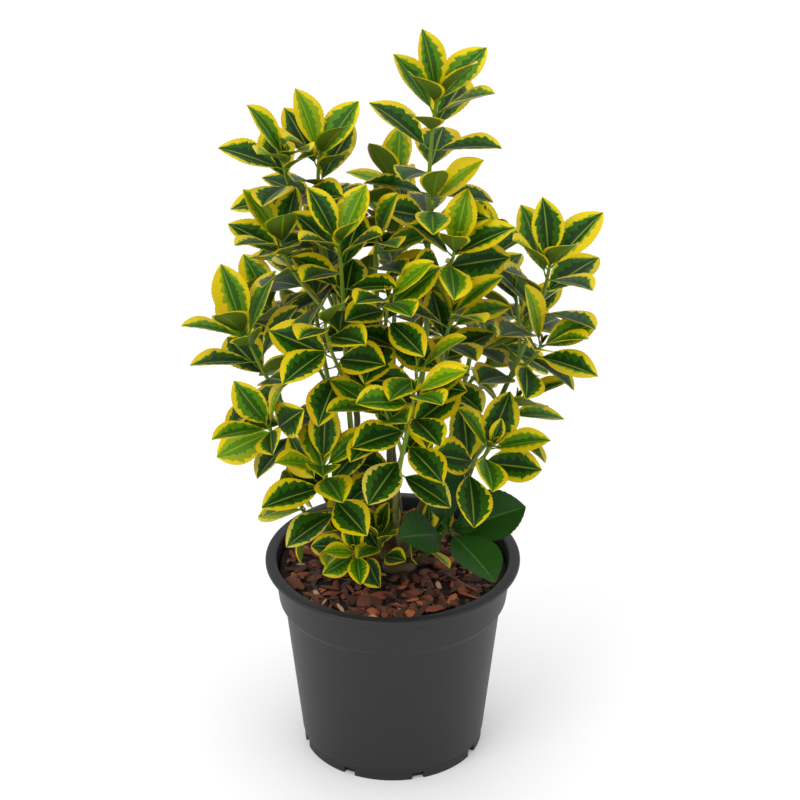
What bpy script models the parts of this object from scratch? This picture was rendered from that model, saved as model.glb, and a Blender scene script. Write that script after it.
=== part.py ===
"""A variegated Japanese euonymus shrub in its plastic nursery pot.

Metres, +Z up, origin at the centre of the pot's flat underside. +X is right and -Y is the front.
The pot is turned from one profile. The shrub grows by rule: a short main stem, tapering boughs,
and masses of foliage, each one forked twig with opposite pairs of leaves that stand crosswise.
"""

import math
import random
from collections import namedtuple

import bmesh
import bpy
from mathutils import Vector
from mathutils.bvhtree import BVHTree

MM = 0.001
GAP = 0.3 * MM  # clearance between solids that touch in the real plant

# Pot
POT_HEIGHT = 156.8 * MM
LIP_RADIUS = 95.0 * MM
LIP_HEIGHT = 4.6 * MM
LIP_ROUND = 1.2 * MM
LIP_FLARE = 2.0 * MM  # height over which the band flares out under the lip
BAND_TOP_RADIUS = 88.6 * MM
BAND_FOOT_RADIUS = 85.2 * MM
BAND_FOOT_Z = 124.0 * MM
SHOULDER_DROP = 4.5 * MM
WALL_TOP_RADIUS = 81.0 * MM
WALL_FOOT_RADIUS = 69.0 * MM
FOOT_RADIUS = 67.8 * MM
FOOT_HEIGHT = 9.0 * MM
FOOT_STEP = 0.6 * MM
WALL_THICK = 2.0 * MM
FLOOR_THICK = 3.0 * MM
POT_SIDES = 48
NOTCHES = 8
NOTCH_PHASE = 0.36  # turn of the first notch from +X, as a share of the spacing
NOTCH_WIDTH = 9.0 * MM
NOTCH_DEPTH = 4.0 * MM
NOTCH_HEIGHT = 5.5 * MM
POT_ROUGHNESS = 0.55
SHARP_ANGLE = math.radians(35)

# Bark mulch and soil
SOIL_TOP = 147.0 * MM
SOIL_SIDES = 36
SOIL_RINGS = 5
SOIL_BUMP = 1.6 * MM
SOIL_LEVEL_RADIUS = 20.0 * MM  # level bed under the main stem
BARK_ROUGHNESS = 0.8

# Main stem
STEM_FOOT = Vector((4.0, 2.0, 147.3)) * MM
STEM_TOP = Vector((5.0, 4.0, 176.0)) * MM
STEM_RADIUS = 11.0 * MM
FLARE_RADIUS = 15.0 * MM
FLARE_HEIGHT = 7.0 * MM
STEM_SIDES = 12
STEM_ROWS = 5
DOME_ROWS = 2
BASAL_FORK = 0.15  # share of the main stem's height where the basal twigs leave it
BASAL_RISE = 0.35  # rise of a basal twig's start for each unit outward
CLEAR_STEP = 0.1 * MM
FOOT_TEST_SIDES = 12

# Boughs and twigs
BOUGH_FOOT_RADIUS = 2.8 * MM
BOUGH_TIP_RADIUS = 2.3 * MM
BOUGH_SIDES = 6
BOUGH_STEP = 15.0 * MM  # length of one straight piece of a bough
TWIG_FOOT_RADIUS = 2.2 * MM
TWIG_TIP_RADIUS = 1.2 * MM
TWIG_SIDES = 4
TWIG_STEP = 17.5 * MM  # length of one straight piece of a twig
SIDE_TWIG_SHARE = 0.82  # radius of a side twig's foot, as a share of its parent's there
FOOT_PULL = 0.38  # how far a limb holds its first heading, as a share of its reach
TIP_PULL = 0.34
LENGTH_STEPS = 24
BARE_FOOT = 0.25  # share of a twig, from its foot, that bears no leaves

# Leaves
LEAF_HALF_WIDTH = 0.265  # share of the blade's length
LEAF_THICK = 0.020  # share of the blade's length, at the midrib
LEAF_LEAST_THICK = 1.1 * MM
LEAF_SECTIONS = (0.0, 0.36, 0.74)  # shares of the leaf's length that carry a section
LEAF_ROUGHNESS = 0.35
SLIVER = 0.02 * MM  # corners this close after a union are made one
LEAF_FOLD = 0.30  # rise of the blade's edges over the midrib, as a share of the half width
LEAF_RECURVE = math.radians(14)  # how far the blade bends back from root to tip
PETIOLE = 0.11  # share of the leaf's length
PETIOLE_RADIUS = 0.7 * MM
STALKS = {  # leaf stalks of these masses, where the plain size fuses badly
    "left_foliage": 0.66 * MM,
    "centre_left_foliage": 0.76 * MM,
    "front_left_foliage": 0.74 * MM,
}
PAIR_DROPS = (1, 4, 12, 25, 40, 56, 73, 91, 110, 130)  # mm below the tip, one for each pair
PAIR_SIZES = (1.0, 1.0, 1.0, 1.0, 1.0, 0.98, 0.95, 0.92, 0.88, 0.84)  # leaf length by pair
PAIR_BREADTHS = (0.94, 0.98, 1.04, 1.08, 1.12, 1.14, 1.14, 1.14, 1.14, 1.14)  # leaf breadth by pair
REVERTED_BREADTH = 1.15
PAIR_OPENINGS = (0, 12, 21, 30, 39, 47, 55, 62, 68, 73)  # degrees beyond the top pair's
OUTWARD_OPENING = 6.0  # degrees more for a leaf that faces out of the crown, and less for one facing in
OUTWARD_FULL = 60.0 * MM  # distance from the middle of the crown where that counts in full
CROWN_MIDDLE = Vector((0.0, 25.0)) * MM
PAIR_TWIST = 6.0  # degrees that the pairs wind round the twig, over the quarter turn
TURN_JITTER = 9.0
OPENING_JITTER = 6.0
SIZE_JITTER = 0.07
CLEAR_TURNS = (0, 9, -9, 18, -18, 27, -27)  # degrees tried until a leaf is clear of the rest
CLEAR_TILTS = (0, -8, 8, -16, 14)
TEST_START = 1.6  # where the test of a leaf starts, in twig radii from the axis
TEST_LENGTH = 1.02  # length of the tested leaf, as a share
MULCH_CLEAR = 3.0 * MM
LIP_CLEAR = 1.5 * MM
LIP_MARGIN = 8.0 * MM  # how far in from the lip's edge the lip's clearance holds

Bough = namedtuple("Bough", "tip share turn bend")
Shoot = namedtuple("Shoot", "join tip lean toward phase pairs leaf opening young", defaults=(1.0,))

# Bough: tip in mm, height of its foot on the main stem as a share, azimuth there, and outward bow
BOUGHS = {
    "leader_bough": Bough((20, 6, 292), 1.0, 20, 0.10),
    "upper_left_bough": Bough((-28, 12, 288), 1.0, 160, 0.20),
    "left_bough": Bough((-54, -10, 226), 0.45, 190, 0.30),
    "centre_left_bough": Bough((-28, -26, 258), 1.0, 205, 0.20),
    "centre_bough": Bough((-2, -8, 268), 1.0, 255, 0.05),
    "centre_right_bough": Bough((26, -20, 250), 1.0, 310, 0.15),
    "right_bough": Bough((60, -8, 244), 0.45, 2, 0.30),
    "lower_right_bough": Bough((44, -10, 214), 0.45, 325, 0.20),
    "front_bough": Bough((2, -42, 218), 0.45, 275, 0.25),
    "front_left_bough": Bough((-32, -34, 194), 0.45, 235, 0.30),
    "back_left_bough": Bough((-38, 40, 226), 0.45, 135, 0.30),
    "back_bough": Bough((0, 48, 224), 1.0, 95, 0.30),
    "back_right_bough": Bough((42, 38, 228), 0.45, 48, 0.30),
}

# Shoot: share of the mass's first twig where it joins, tip in mm, lean and where to in degrees,
# azimuth of the top pair, pairs, blade length in mm, and opening of the top pair
MASSES = {
    "leader_foliage": (
        "leader_bough",
        Shoot(0.0, (31, 15, 514), 12, -45, 135, 9, 52, 25),
        Shoot(0.55, (28, -4, 446), 7, -95, 80, 5, 46, 22),
        Shoot(0.36, (43, -16, 411), 10, -70, 75, 5, 46, 30),
        Shoot(0.46, (4, 38, 436), 15, 150, 60, 5, 48, 28),
    ),
    "upper_left_foliage": (
        "upper_left_bough",
        Shoot(0.0, (-51, 20, 470), 12, -60, 125, 9, 48, 26),
        Shoot(0.50, (-75, 0, 477), 14, -80, 155, 7, 48, 30),
        Shoot(0.25, (-60, 30, 400), 12, 150, 30, 5, 44, 30),
    ),
    "left_foliage": (
        "left_bough",
        Shoot(0.0, (-104, -20, 350), 18, 200, 90, 9, 50, 25),
        Shoot(0.35, (-88, -40, 285), 25, 215, 20, 5, 46, 40),
    ),
    "centre_left_foliage": (
        "centre_left_bough",
        Shoot(0.0, (-37, -40, 430), 14, -110, 132, 8, 46, 30),
        Shoot(0.50, (-77, -25, 423), 10, -120, 135, 7, 46, 30),
        Shoot(0.25, (-46, -66, 380), 16, -100, 125, 7, 48, 30),
    ),
    "centre_foliage": (
        "centre_bough",
        Shoot(0.0, (-11, -12, 419), 20, -75, 10, 8, 46, 28),
        Shoot(0.35, (-3, -50, 392), 14, -80, 22, 7, 46, 36),
    ),
    "centre_right_foliage": (
        "centre_right_bough",
        Shoot(0.0, (42, -26, 369), 14, -20, 10, 8, 46, 36),
        Shoot(0.40, (17, -58, 342), 8, 30, 60, 6, 46, 26),
    ),
    "right_foliage": (
        "right_bough",
        Shoot(0.0, (111, 0, 394), 14, -70, 115, 8, 53, 30),
        Shoot(0.38, (105, -22, 342), 20, -50, 140, 6, 48, 34),
        Shoot(0.50, (88, 18, 368), 6, 120, 100, 5, 44, 22),
    ),
    "lower_right_foliage": (
        "lower_right_bough",
        Shoot(0.0, (70, -45, 273), 24, -30, 75, 5, 48, 34, 0.45),
        Shoot(0.30, (88, -12, 292), 24, 10, 10, 4, 46, 40),
    ),
    "front_foliage": (
        "front_bough",
        Shoot(0.0, (15, -85, 338), 16, -80, 15, 8, 46, 34, 0.9),
        Shoot(0.45, (-6, -72, 320), 16, 215, 120, 6, 48, 34),
    ),
    "front_left_foliage": (
        "front_left_bough",
        Shoot(0.0, (-49, -62, 268), 16, -80, 95, 7, 48, 38),
        Shoot(0.30, (-66, -38, 218), 20, 200, 60, 5, 42, 40),
    ),
    "reverted_foliage": (
        "",
        Shoot(0.0, (42, -40, 203), 50, -60, 14, 3, 60, 40, 0.35),
    ),
    "basal_front_foliage": (
        "",
        Shoot(0.0, (-10, -34, 192), 8, -90, 40, 6, 31, 26),
        Shoot(0.40, (26, -36, 192), 14, -40, 110, 5, 30, 30),
    ),
    "basal_left_foliage": (
        "",
        Shoot(0.0, (-40, -26, 192), 26, 215, 60, 5, 34, 40),
        Shoot(0.50, (-26, -40, 182), 30, 250, 10, 4, 30, 44),
    ),
    "back_left_foliage": (
        "back_left_bough",
        Shoot(0.0, (-62, 66, 372), 8, 130, 30, 8, 46, 28),
        Shoot(0.45, (-88, 40, 342), 18, 160, 100, 6, 46, 32),
        Shoot(0.25, (-66, 90, 296), 22, 120, 60, 6, 46, 34),
    ),
    "back_foliage": (
        "back_bough",
        Shoot(0.0, (2, 78, 392), 6, 90, 70, 8, 46, 28),
        Shoot(0.40, (-22, 100, 326), 16, 110, 20, 6, 46, 32),
        Shoot(0.25, (30, 104, 306), 18, 80, 120, 6, 46, 34),
    ),
    "back_right_foliage": (
        "back_right_bough",
        Shoot(0.0, (68, 58, 374), 8, 40, 110, 8, 46, 28),
        Shoot(0.45, (96, 44, 326), 20, 20, 60, 6, 46, 32),
        Shoot(0.25, (76, 84, 288), 20, 50, 20, 6, 46, 34),
    ),
}

# Plain colours, linear
BLACK = (0.040, 0.041, 0.043)
BARK_BROWN = (0.110, 0.040, 0.022)
WOOD_GREEN = (0.075, 0.090, 0.030)
LEAF_GREEN = (0.130, 0.200, 0.015)
PLAIN_GREEN = (0.030, 0.085, 0.014)


def clear_scene():
    for obj in list(bpy.data.objects):
        bpy.data.objects.remove(obj, do_unlink=True)


def material(name, colour, roughness):
    made = bpy.data.materials.new(name)
    made.use_nodes = True
    shader = made.node_tree.nodes["Principled BSDF"]
    shader.inputs["Base Color"].default_value = (*colour, 1.0)
    shader.inputs["Roughness"].default_value = roughness
    shader.inputs["Metallic"].default_value = 0.0
    return made


def mesh_from(name, points, faces):
    mesh = bpy.data.meshes.new(name)
    mesh.from_pydata([tuple(p) for p in points], [], faces)
    mesh.update()
    return mesh


def add_object(name, mesh, colour, roughness):
    obj = bpy.data.objects.new(name, mesh)
    mesh.materials.clear()
    mesh.materials.append(material(name + "_finish", colour, roughness))
    bpy.context.scene.collection.objects.link(obj)
    return obj


def applied(obj):
    """The object's mesh with its modifiers applied."""
    graph = bpy.context.evaluated_depsgraph_get()
    mesh = bpy.data.meshes.new_from_object(obj.evaluated_get(graph))
    obj.modifiers.clear()
    obj.data = mesh
    return mesh


def tube(rings):
    """Points and faces of a closed tube through rings of equal size."""
    sides = len(rings[0])
    points = [p for ring in rings for p in ring]
    faces = [tuple(reversed(range(sides)))]
    for row in range(len(rings) - 1):
        a = row * sides
        for i in range(sides):
            j = (i + 1) % sides
            faces.append((a + i, a + j, a + sides + j, a + sides + i))
    last = (len(rings) - 1) * sides
    faces.append(tuple(range(last, last + sides)))
    return points, faces


def circle(centre, radius, sides):
    """A level ring of points."""
    return [
        centre + Vector((math.cos(math.tau * i / sides), math.sin(math.tau * i / sides), 0.0)) * radius
        for i in range(sides)
    ]


def level(height):
    return Vector((0.0, 0.0, height))


def bezier(a, b, c, d, t):
    s = 1.0 - t
    return a * s**3 + b * (3 * s * s * t) + c * (3 * s * t * t) + d * t**3


def bezier_slope(a, b, c, d, t):
    s = 1.0 - t
    return ((b - a) * s * s + (c - b) * (2 * s * t) + (d - c) * t * t).normalized()


def leaning(lean, toward):
    """Unit vector that leans from upright by one angle toward an azimuth, in degrees."""
    lean, toward = math.radians(lean), math.radians(toward)
    return Vector((math.sin(lean) * math.cos(toward), math.sin(lean) * math.sin(toward), math.cos(lean)))


def crosswise(axis):
    """Two unit vectors across an axis. The first stays as near +X as it can."""
    first = Vector((1.0, 0.0, 0.0))
    first = (first - axis * first.dot(axis)).normalized()
    return first, axis.cross(first)


def ring_across(centre, axis, radius, sides):
    """A ring of points across an axis."""
    first, other = crosswise(axis)
    return [
        centre + first * radius * math.cos(math.tau * i / sides) + other * radius * math.sin(math.tau * i / sides)
        for i in range(sides)
    ]


class Limb:
    """A smooth tapering limb from one point and heading to another."""

    def __init__(self, start, heading, tip, ending, foot_radius, tip_radius):
        reach = (tip - start).length
        self.curve = (start, start + heading * reach * FOOT_PULL, tip - ending * reach * TIP_PULL, tip)
        self.foot_radius = foot_radius
        self.tip_radius = tip_radius
        spots = [self.point(i / LENGTH_STEPS) for i in range(LENGTH_STEPS + 1)]
        self.length = sum((b - a).length for a, b in zip(spots, spots[1:]))

    def point(self, t):
        return bezier(*self.curve, t)

    def slope(self, t):
        return bezier_slope(*self.curve, t)

    def radius(self, t):
        return self.foot_radius + (self.tip_radius - self.foot_radius) * t

    def pieces(self, step):
        """How many straight pieces of about one length stand for the limb."""
        return max(2, round(self.length / step))

    def chord_point(self, t, step):
        """The point at a share of the limb when it's made of straight pieces."""
        count = self.pieces(step)
        first = min(int(t * count), count - 1)
        return self.point(first / count).lerp(self.point((first + 1) / count), t * count - first)

    def solid(self, step, sides):
        """Points and faces of the limb, as straight pieces of about one length."""
        count = self.pieces(step)
        shares = [k / count for k in range(count + 1)]
        return tube([ring_across(self.point(t), self.slope(t), self.radius(t), sides) for t in shares])


def leaf_width(s):
    """Half width of the blade at a share of its length, as a share of the widest."""
    t = s**1.12
    return (4.0 * t * (1.0 - t)) ** 0.92


def leaf_spine(root, heading, face, length):
    """A function that gives the midrib's point and the blade's face at a share of the leaf."""
    def spot(s):
        bend = LEAF_RECURVE * s * s
        sag = LEAF_RECURVE * s**3 / 3.0
        return root + (heading * s - face * sag) * length, face * math.cos(bend) + heading * math.sin(bend)
    return spot


def leaf_solid(root, heading, face, length, broad, stalk=PETIOLE_RADIUS):
    """Points and faces of one thin folded leaf."""
    side = heading.cross(face).normalized()
    spot = leaf_spine(root, heading, face, length)
    widest = LEAF_HALF_WIDTH * length * broad
    rings = []
    for s in LEAF_SECTIONS:
        centre, upward = spot(s)
        blade = max(0.0, (s - PETIOLE) / (1.0 - PETIOLE))
        half = max(stalk, widest * leaf_width(blade))
        rise = LEAF_FOLD * half if blade else 0.0
        thick = max(LEAF_THICK * length, LEAF_LEAST_THICK) / 2
        rings.append([
            centre - side * half + upward * rise,
            centre + upward * thick,
            centre + side * half + upward * rise,
            centre - upward * thick,
        ])
    points, faces = tube(rings)
    faces.pop()
    points.append(spot(1.0)[0])
    tip = len(points) - 1
    faces.extend((tip - 4 + i, tip - 4 + (i + 1) % 4, tip) for i in range(4))
    return points, faces


class Crowd:
    """What already stands in the crown, for telling whether a new piece is clear of it."""

    def __init__(self):
        self.pieces = []

    def measured(self, points, faces):
        middle = sum(points, Vector()) / len(points)
        reach = max((p - middle).length for p in points)
        corners = [(f[0], f[i], f[i + 1]) for f in faces for i in range(1, len(f) - 1)]
        return middle, reach, BVHTree.FromPolygons([tuple(p) for p in points], corners, all_triangles=True)

    def add(self, points, faces, owner):
        self.pieces.append((*self.measured(points, faces), owner))

    def touched(self, points, faces, spared=""):
        """Whether a piece meets another, leaving out those of one owner."""
        middle, reach, tree = self.measured(points, faces)
        return any(
            owner != spared and (centre - middle).length < radius + reach and tree.overlap(other)
            for centre, radius, other, owner in self.pieces
        )


def stem_centre(share):
    return STEM_FOOT.lerp(STEM_TOP, share)


def main_stem_solid(rows, dome_rows, sides):
    """A short leaning stem, cut level at the soil, with a root flare and a domed fork."""
    height = (STEM_TOP - STEM_FOOT).length
    rings = []
    for k in range(rows + 1):
        share = k / rows
        flare = max(0.0, 1.0 - share * height / FLARE_HEIGHT) ** 2
        radius = STEM_RADIUS + (FLARE_RADIUS - STEM_RADIUS) * flare
        rings.append(circle(stem_centre(share), radius, sides))
    for k in range(1, dome_rows + 1):
        rise = math.pi / 2 * k / (dome_rows + 0.5)
        centre = STEM_TOP + level(STEM_RADIUS * math.sin(rise))
        rings.append(circle(centre, STEM_RADIUS * math.cos(rise), sides))
    return tube(rings)


def off_main_stem(centre, heading, radius):
    """Where a limb starts that leaves the main stem, its whole foot the gap away from the bark."""
    start = centre
    axis = (STEM_TOP - STEM_FOOT).normalized()
    while True:
        start = start + heading * CLEAR_STEP
        near = []
        for p in [start, *ring_across(start, heading, radius, FOOT_TEST_SIDES)]:
            along = min(max((p - STEM_FOOT).dot(axis), 0.0), (STEM_TOP - STEM_FOOT).length)
            near.append((p - STEM_FOOT - axis * along).length)
        if min(near) > STEM_RADIUS + GAP:
            return start


def bough_limbs():
    """The boughs leave the main stem in two whorls, the upper one steeper."""
    limbs = {}
    axis = (STEM_TOP - STEM_FOOT).normalized()
    for name, (tip, share, turn, bend) in BOUGHS.items():
        tip = Vector(tip) * MM
        outward = leaning(90, turn)
        heading = (outward + axis * (0.4 + 0.4 * share)).normalized()
        start = off_main_stem(stem_centre(share), heading, BOUGH_FOOT_RADIUS)
        away = Vector((tip.x - start.x, tip.y - start.y, 0.0)).normalized()
        ending = (away * bend + axis).normalized()
        limbs[name] = Limb(start, heading, tip, ending, BOUGH_FOOT_RADIUS, BOUGH_TIP_RADIUS)
    return limbs


def shoot_limbs(mass, limbs):
    """The limb of each shoot in a mass: the first grows on from its bough, the rest from the first."""
    bough, *shoots = mass
    made = []
    for shoot in shoots:
        tip = Vector(shoot.tip) * MM
        ending = leaning(shoot.lean, shoot.toward)
        foot_radius = TWIG_FOOT_RADIUS
        if made:
            first = made[0]
            start = first.point(shoot.join)
            heading = (first.slope(shoot.join) * 0.5 + (tip - start).normalized()).normalized()
            foot_radius = first.radius(shoot.join) * SIDE_TWIG_SHARE
        elif bough:
            heading = limbs[bough].slope(1.0)
            start = limbs[bough].point(1.0) + heading * GAP
        else:
            centre = stem_centre(BASAL_FORK)
            outward = Vector((tip.x - centre.x, tip.y - centre.y, 0.0)).normalized()
            heading = (outward + level(BASAL_RISE)).normalized()
            start = off_main_stem(centre, heading, TWIG_FOOT_RADIUS)
        made.append(Limb(start, heading, tip, ending, foot_radius, TWIG_TIP_RADIUS))
    return made


def leaves_of(shoot, limb, chance):
    """Share along the twig, azimuth, opening, length and breadth of each leaf the rule gives a shoot."""
    made = []
    outward = (Vector(shoot.tip[:2]) * MM - CROWN_MIDDLE) / OUTWARD_FULL
    if outward.length > 1.0:
        outward.normalize()
    for pair in range(shoot.pairs):
        drop = PAIR_DROPS[pair] * MM * (0.8 + shoot.leaf / 220.0)
        t = 1.0 - drop / limb.length
        if t < BARE_FOOT:
            break
        for half in (0, 180):
            turn = shoot.phase + (90 + PAIR_TWIST) * pair + half + chance.uniform(-1, 1) * TURN_JITTER
            facing = outward.dot(Vector((math.cos(math.radians(turn)), math.sin(math.radians(turn)))))
            opening = shoot.opening + PAIR_OPENINGS[pair] + OUTWARD_OPENING * facing
            opening += chance.uniform(-1, 1) * OPENING_JITTER
            size = shoot.leaf * PAIR_SIZES[pair] * (1 + chance.uniform(-1, 1) * SIZE_JITTER)
            if pair == 0:
                size *= shoot.young
            made.append((t, turn, opening, size * MM, PAIR_BREADTHS[pair]))
    return made


def leaf_frame(axis, turn, opening):
    """Heading and face of a leaf that opens from a twig's axis toward an azimuth, in degrees."""
    across, other = crosswise(axis)
    turn, opening = math.radians(turn), math.radians(opening)
    aside = across * math.cos(turn) + other * math.sin(turn)
    heading = axis * math.cos(opening) + aside * math.sin(opening)
    face = axis * math.sin(opening) - aside * math.cos(opening)
    return heading, face


def within_bounds(points):
    """Whether a piece keeps above the mulch and clear of the pot's lip."""
    for p in points:
        across = math.hypot(p.x, p.y)
        if p.z < SOIL_TOP + MULCH_CLEAR and across < LIP_RADIUS + LIP_CLEAR:
            return False
        if p.z < POT_HEIGHT + LIP_CLEAR and across > LIP_RADIUS - LIP_MARGIN:
            return False
    return True


def placed_leaf(limb, t, turn, opening, length, broad, crowd, owner):
    """The first way of turning and tilting a leaf that keeps it clear of the rest, or None."""
    root, axis = limb.chord_point(t, TWIG_STEP), limb.slope(t)
    for tilt in CLEAR_TILTS:
        for aside in CLEAR_TURNS:
            heading, face = leaf_frame(axis, turn + aside, opening + tilt)
            outer = root + heading * limb.radius(t) * TEST_START
            solid = leaf_solid(outer, heading, face, length * TEST_LENGTH, broad)
            if not within_bounds(solid[0]) or crowd.touched(*solid):
                continue
            if not crowd.touched(*leaf_solid(root, heading, face, length, broad), owner):
                return root, heading, face, length, broad
    return None


def grow():
    """The boughs' limbs, and each mass's twigs and leaves, grown one after another."""
    limbs = bough_limbs()
    twigs = {name: shoot_limbs(mass, limbs) for name, mass in MASSES.items()}
    crowd = Crowd()
    crowd.add(*main_stem_solid(STEM_ROWS, DOME_ROWS, STEM_SIDES), "main_stem")
    for name, limb in limbs.items():
        crowd.add(*limb.solid(BOUGH_STEP, BOUGH_SIDES), name)
    for name, made in twigs.items():
        for limb in made:
            crowd.add(*limb.solid(TWIG_STEP, TWIG_SIDES), name)
    leaves = {}
    for name, (_, *shoots) in MASSES.items():
        chance = random.Random(name)
        leaves[name] = []
        plain = REVERTED_BREADTH if name == "reverted_foliage" else 1.0
        for number, (shoot, limb) in enumerate(zip(shoots, twigs[name])):
            for t, turn, opening, length, broad in leaves_of(shoot, limb, chance):
                leaf = placed_leaf(limb, t, turn, opening, length, broad * plain, crowd, name)
                if leaf:
                    leaves[name].append((number, *leaf))
                    crowd.add(*leaf_solid(*leaf), name)
    return limbs, twigs, leaves


def largest_shell(mesh):
    """Keep the outer shell alone, without slivers, any hollow that the union sealed or loose scrap."""
    shape = bmesh.new()
    shape.from_mesh(mesh)
    bmesh.ops.remove_doubles(shape, verts=shape.verts, dist=SLIVER)
    left = set(shape.faces)
    shells = []
    while left:
        reached = [left.pop()]
        shell = []
        while reached:
            face = reached.pop()
            shell.append(face)
            for edge in face.edges:
                for other in edge.link_faces:
                    if other in left:
                        left.remove(other)
                        reached.append(other)
        shells.append(shell)
    largest = max(shells, key=len)
    scraps = [face for shell in shells if shell is not largest for face in shell]
    bmesh.ops.delete(shape, geom=scraps, context="FACES")
    shape.to_mesh(mesh)
    shape.free()


def fused(name, solids, colour):
    """One solid from a twig and everything that grows on it."""
    obj = add_object(name, mesh_from(name, *solids[0]), colour, LEAF_ROUGHNESS)
    pieces = bpy.data.collections.new(name + "_pieces")
    bpy.context.scene.collection.children.link(pieces)
    for number, solid in enumerate(solids[1:]):
        label = f"{name}_piece_{number}"
        pieces.objects.link(bpy.data.objects.new(label, mesh_from(label, *solid)))
    union = obj.modifiers.new("union", "BOOLEAN")
    union.operation = "UNION"
    union.operand_type = "COLLECTION"
    union.collection = pieces
    union.solver = "MANIFOLD"
    mesh = applied(obj)
    for piece in list(pieces.objects):
        bpy.data.objects.remove(piece, do_unlink=True)
    bpy.data.collections.remove(pieces)
    largest_shell(mesh)
    return obj


def pot_outside():
    """Radius and height of the pot's outer side, from the foot up to the top of the lip."""
    lip_foot = POT_HEIGHT - LIP_HEIGHT
    return [
        (FOOT_RADIUS, 0.0),
        (FOOT_RADIUS, FOOT_HEIGHT),
        (WALL_FOOT_RADIUS, FOOT_HEIGHT + FOOT_STEP),
        (WALL_TOP_RADIUS, BAND_FOOT_Z - SHOULDER_DROP),
        ((WALL_TOP_RADIUS + 2 * BAND_FOOT_RADIUS) / 3, BAND_FOOT_Z - SHOULDER_DROP / 2),
        (BAND_FOOT_RADIUS, BAND_FOOT_Z),
        (BAND_TOP_RADIUS, lip_foot - LIP_FLARE),
        (LIP_RADIUS - LIP_ROUND, lip_foot),
        (LIP_RADIUS, lip_foot + LIP_ROUND),
        (LIP_RADIUS, POT_HEIGHT - LIP_ROUND),
        (LIP_RADIUS - LIP_ROUND, POT_HEIGHT),
    ]


def pot_inside():
    """Radius and height of the pot's inner side, from the floor up to the top of the lip."""
    return [
        (FOOT_RADIUS - WALL_THICK, FLOOR_THICK),
        (WALL_TOP_RADIUS - WALL_THICK, BAND_FOOT_Z - SHOULDER_DROP),
        (BAND_FOOT_RADIUS - WALL_THICK, BAND_FOOT_Z),
        (BAND_TOP_RADIUS - WALL_THICK, POT_HEIGHT - LIP_ROUND),
        (BAND_TOP_RADIUS - WALL_THICK + LIP_ROUND, POT_HEIGHT),
    ]


def add_pot():
    profile = pot_outside() + list(reversed(pot_inside()))
    rings = [circle(level(z), radius, POT_SIDES) for radius, z in profile]
    pot = add_object("pot", mesh_from("pot", *tube(rings)), BLACK, POT_ROUGHNESS)
    points, faces = [], []
    for k in range(NOTCHES):
        turn = math.tau * (k + NOTCH_PHASE) / NOTCHES
        outward = Vector((math.cos(turn), math.sin(turn), 0.0))
        aside = Vector((-outward.y, outward.x, 0.0)) * NOTCH_WIDTH / 2
        near = outward * (FOOT_RADIUS - NOTCH_DEPTH)
        far = outward * (LIP_RADIUS + NOTCH_DEPTH)
        base = [near - aside, far - aside, far + aside, near + aside]
        box = tube([[p + level(z) for p in base] for z in (-NOTCH_HEIGHT, NOTCH_HEIGHT)])
        faces.extend(tuple(i + len(points) for i in face) for face in box[1])
        points.extend(box[0])
    cutter = add_object("notch_cutter", mesh_from("notch_cutter", points, faces), BLACK, POT_ROUGHNESS)
    cut = pot.modifiers.new("notches", "BOOLEAN")
    cut.operation = "DIFFERENCE"
    cut.object = cutter
    cut.solver = "EXACT"
    mesh = applied(pot)
    bpy.data.objects.remove(cutter, do_unlink=True)
    mesh.shade_smooth()
    mesh.set_sharp_from_angle(angle=SHARP_ANGLE)
    return pot


def add_soil():
    """Soil that fills the pot, its top a bed of bark mulch that is level under the main stem."""
    chance = random.Random("mulch")
    rings = []
    for radius, z in pot_inside():
        if z < SOIL_TOP:
            rings.append(circle(level(z + GAP), radius - GAP, SOIL_SIDES))
    rim = (BAND_FOOT_RADIUS + BAND_TOP_RADIUS) / 2 - WALL_THICK - GAP
    rings.append(circle(level(SOIL_TOP), rim, SOIL_SIDES))
    for k in range(1, SOIL_RINGS + 1):
        radius = rim + (SOIL_LEVEL_RADIUS - rim) * k / SOIL_RINGS
        bump = SOIL_BUMP if k < SOIL_RINGS else 0.0
        ring = circle(level(SOIL_TOP), radius, SOIL_SIDES)
        rings.append([p + level(bump * chance.uniform(-1, 1)) for p in ring])
    return add_object("soil", mesh_from("soil", *tube(rings)), BARK_BROWN, BARK_ROUGHNESS)


def add_main_stem():
    mesh = mesh_from("main_stem", *main_stem_solid(STEM_ROWS, DOME_ROWS, STEM_SIDES))
    add_object("main_stem", mesh, WOOD_GREEN, BARK_ROUGHNESS).data.shade_smooth()


def main():
    clear_scene()
    add_pot()
    add_soil()
    add_main_stem()
    limbs, twigs, leaves = grow()
    for name, limb in limbs.items():
        mesh = mesh_from(name, *limb.solid(BOUGH_STEP, BOUGH_SIDES))
        add_object(name, mesh, WOOD_GREEN, BARK_ROUGHNESS).data.shade_smooth()
    for name, made in twigs.items():
        solids = [limb.solid(TWIG_STEP, TWIG_SIDES) for limb in made]
        stalk = STALKS.get(name, PETIOLE_RADIUS)
        solids += [leaf_solid(*leaf, stalk) for _, *leaf in leaves[name]]
        fused(name, solids, PLAIN_GREEN if name == "reverted_foliage" else LEAF_GREEN)


if __name__ == "__main__":
    main()
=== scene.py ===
"""The finished look of the potted shrub, grown again by its own rule and carried finer."""

import math
import random
from collections import namedtuple

import bpy
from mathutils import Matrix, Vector
from mathutils.bvhtree import BVHTree


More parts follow.
